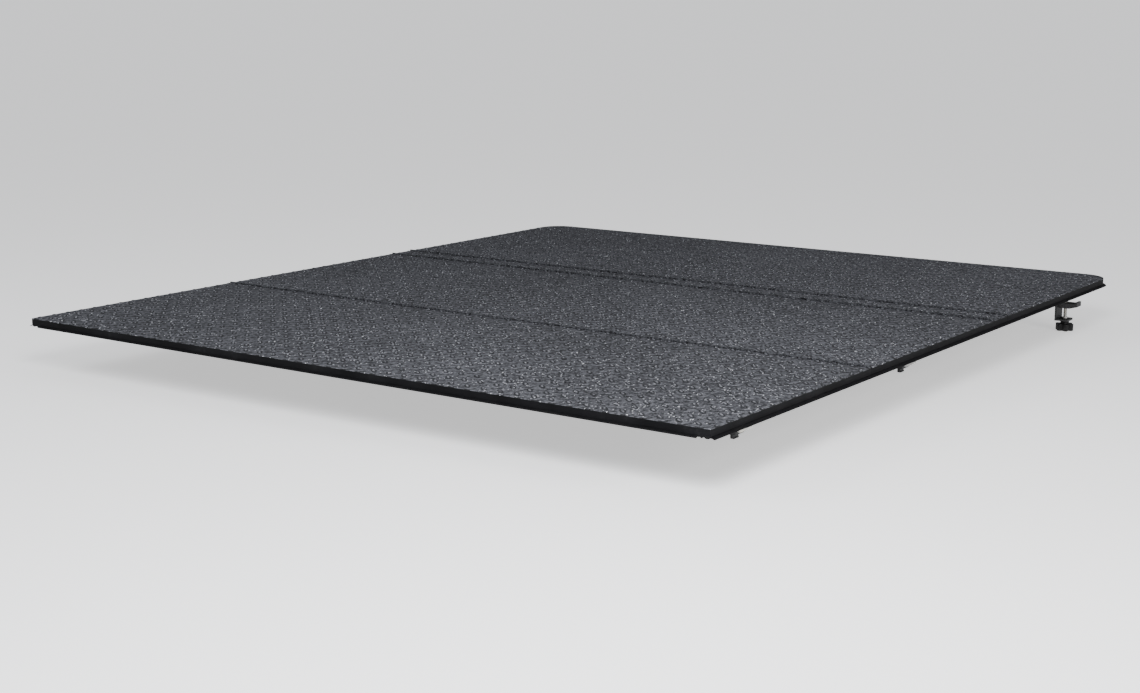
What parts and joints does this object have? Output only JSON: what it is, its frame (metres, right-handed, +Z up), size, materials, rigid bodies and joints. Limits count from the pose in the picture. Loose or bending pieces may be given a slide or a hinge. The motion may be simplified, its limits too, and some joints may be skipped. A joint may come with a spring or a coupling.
{
  "type": "tonneau cover",
  "caption": "Hard folding pickup bed cover: black tread-plate panels on hinged frames, with side trigger latches and front screw clamps.",
  "frame": {"origin": "middle of the bulkhead seal's underside, on the plane of the bed rail tops and on the centreline", "axes": "+X to the truck's right, +Y forward to the cab along the bed, +Z up"},
  "size_m": [1.646, 1.852, 0.1204],
  "materials": {
    "tread_skin": "matte",
    "frame_black": "satin",
    "core_white": "matte",
    "liner_black": "matte",
    "seal_rubber": "matte",
    "moulded_black": "matte",
    "bracket_black": "matte",
    "zinc_steel": "satin",
    "black_screw": "satin",
    "pin_steel": "satin"
  },
  "bodies": {
    "front_panel": {"front_skin": "tread_skin", "front_core": "core_white", "front_liner": "liner_black", "front_side_frames": "frame_black", "bulkhead_frame": "frame_black", "front_hinge_frame": "frame_black", "front_corners": "moulded_black", "front_side_seals": "seal_rubber", "bulkhead_seal": "seal_rubber", "front_screws": "black_screw", "front_hinge_pin": "pin_steel", "clamp_bracket_left": "bracket_black", "clamp_bracket_right": "bracket_black"},
    "hinge_strip": {"strip_skin": "tread_skin", "strip_frame": "frame_black", "strip_end_caps": "moulded_black", "strip_seals": "seal_rubber", "strip_hinge_pin": "pin_steel"},
    "middle_panel": {"middle_skin": "tread_skin", "middle_core": "core_white", "middle_liner": "liner_black", "middle_side_frames": "frame_black", "middle_hinge_frame_front": "frame_black", "middle_hinge_frame_rear": "frame_black", "middle_side_seals": "seal_rubber", "middle_screws": "black_screw", "rear_hinge_pin": "pin_steel", "middle_latch_housing_left": "moulded_black", "middle_latch_spring_left": "zinc_steel", "middle_latch_housing_right": "moulded_black", "middle_latch_spring_right": "zinc_steel"},
    "rear_panel": {"rear_skin": "tread_skin", "rear_core": "core_white", "rear_liner": "liner_black", "rear_side_frames": "frame_black", "tailgate_frame": "frame_black", "rear_hinge_frame": "frame_black", "rear_corner_keys": "moulded_black", "rear_side_seals": "seal_rubber", "tailgate_seal": "seal_rubber", "rear_screws": "black_screw", "rear_latch_housing_left": "moulded_black", "rear_latch_spring_left": "zinc_steel", "rear_latch_housing_right": "moulded_black", "rear_latch_spring_right": "zinc_steel"},
    "rear_trigger_left": {"rear_latch_trigger_left": "moulded_black"},
    "rear_bolt_left": {"rear_latch_bolt_left": "zinc_steel"},
    "rear_trigger_right": {"rear_latch_trigger_right": "moulded_black"},
    "rear_bolt_right": {"rear_latch_bolt_right": "zinc_steel"},
    "middle_trigger_left": {"middle_latch_trigger_left": "moulded_black"},
    "middle_bolt_left": {"middle_latch_bolt_left": "zinc_steel"},
    "middle_trigger_right": {"middle_latch_trigger_right": "moulded_black"},
    "middle_bolt_right": {"middle_latch_bolt_right": "zinc_steel"},
    "clamp_spindle_left": {"clamp_screw_left": "zinc_steel", "clamp_knob_left": "moulded_black"},
    "clamp_jaw_left": {"clamp_jaw_left": "bracket_black"},
    "clamp_spindle_right": {"clamp_screw_right": "zinc_steel", "clamp_knob_right": "moulded_black"},
    "clamp_jaw_right": {"clamp_jaw_right": "bracket_black"}
  },
  "joints": [
    {"name": "front_fold", "type": "hinge", "parent": "front_panel", "child": "hinge_strip", "pos_m": [0, -0.633, 0.0182], "axis": [-1, 0, 0], "range_deg": [0, 90]},
    {"name": "middle_fold", "type": "hinge", "parent": "hinge_strip", "child": "middle_panel", "pos_m": [0, -0.704, 0.0182], "axis": [-1, 0, 0], "range_deg": [0, 90]},
    {"name": "rear_fold", "type": "hinge", "parent": "middle_panel", "child": "rear_panel", "pos_m": [0, -1.273, 0.0182], "axis": [-1, 0, 0], "range_deg": [0, 180]},
    {"name": "rear_trigger_left", "type": "hinge", "parent": "rear_panel", "child": "rear_trigger_left", "pos_m": [-0.748, -1.64, -0.008], "axis": [0, -1, 0], "range_deg": [0, 30], "stiffness_Nm_per_rad": 0.4, "springref_deg": -17.19},
    {"name": "rear_bolt_left", "type": "slide", "parent": "rear_panel", "child": "rear_bolt_left", "axis": [1, 0, 0], "range_m": [0, 0.012], "deforming": ["rear_latch_spring_left"]},
    {"name": "rear_trigger_right", "type": "hinge", "parent": "rear_panel", "child": "rear_trigger_right", "pos_m": [0.748, -1.64, -0.008], "axis": [0, 1, 0], "range_deg": [0, 30], "stiffness_Nm_per_rad": 0.4, "springref_deg": -17.19},
    {"name": "rear_bolt_right", "type": "slide", "parent": "rear_panel", "child": "rear_bolt_right", "axis": [-1, 0, 0], "range_m": [0, 0.012], "deforming": ["rear_latch_spring_right"]},
    {"name": "middle_trigger_left", "type": "hinge", "parent": "middle_panel", "child": "middle_trigger_left", "pos_m": [-0.748, -1, -0.008], "axis": [0, -1, 0], "range_deg": [0, 30], "stiffness_Nm_per_rad": 0.4, "springref_deg": -17.19},
    {"name": "middle_bolt_left", "type": "slide", "parent": "middle_panel", "child": "middle_bolt_left", "axis": [1, 0, 0], "range_m": [0, 0.012], "deforming": ["middle_latch_spring_left"]},
    {"name": "middle_trigger_right", "type": "hinge", "parent": "middle_panel", "child": "middle_trigger_right", "pos_m": [0.748, -1, -0.008], "axis": [0, 1, 0], "range_deg": [0, 30], "stiffness_Nm_per_rad": 0.4, "springref_deg": -17.19},
    {"name": "middle_bolt_right", "type": "slide", "parent": "middle_panel", "child": "middle_bolt_right", "axis": [-1, 0, 0], "range_m": [0, 0.012], "deforming": ["middle_latch_spring_right"]},
    {"name": "clamp_spin_left", "type": "hinge", "parent": "front_panel", "child": "clamp_spindle_left", "pos_m": [-0.756, -0.12, -0.08], "axis": [0, 0, 1], "range_deg": [0, 4320]},
    {"name": "clamp_jaw_left", "type": "slide", "parent": "front_panel", "child": "clamp_jaw_left", "axis": [0, 0, -1], "range_m": [0, 0.0151]},
    {"name": "clamp_spin_right", "type": "hinge", "parent": "front_panel", "child": "clamp_spindle_right", "pos_m": [0.756, -0.12, -0.08], "axis": [0, 0, 1], "range_deg": [0, 4320]},
    {"name": "clamp_jaw_right", "type": "slide", "parent": "front_panel", "child": "clamp_jaw_right", "axis": [0, 0, -1], "range_m": [0, 0.0151]}
  ],
  "couplings": [
    {"joint": "rear_bolt_left", "follows": "rear_trigger_left", "m_per_rad": 0.0229},
    {"joint": "rear_bolt_right", "follows": "rear_trigger_right", "m_per_rad": 0.0229},
    {"joint": "middle_bolt_left", "follows": "middle_trigger_left", "m_per_rad": 0.0229},
    {"joint": "middle_bolt_right", "follows": "middle_trigger_right", "m_per_rad": 0.0229},
    {"joint": "clamp_jaw_left", "follows": "clamp_spin_left", "m_per_rad": 0.00019894},
    {"joint": "clamp_jaw_right", "follows": "clamp_spin_right", "m_per_rad": 0.00019894}
  ]
}
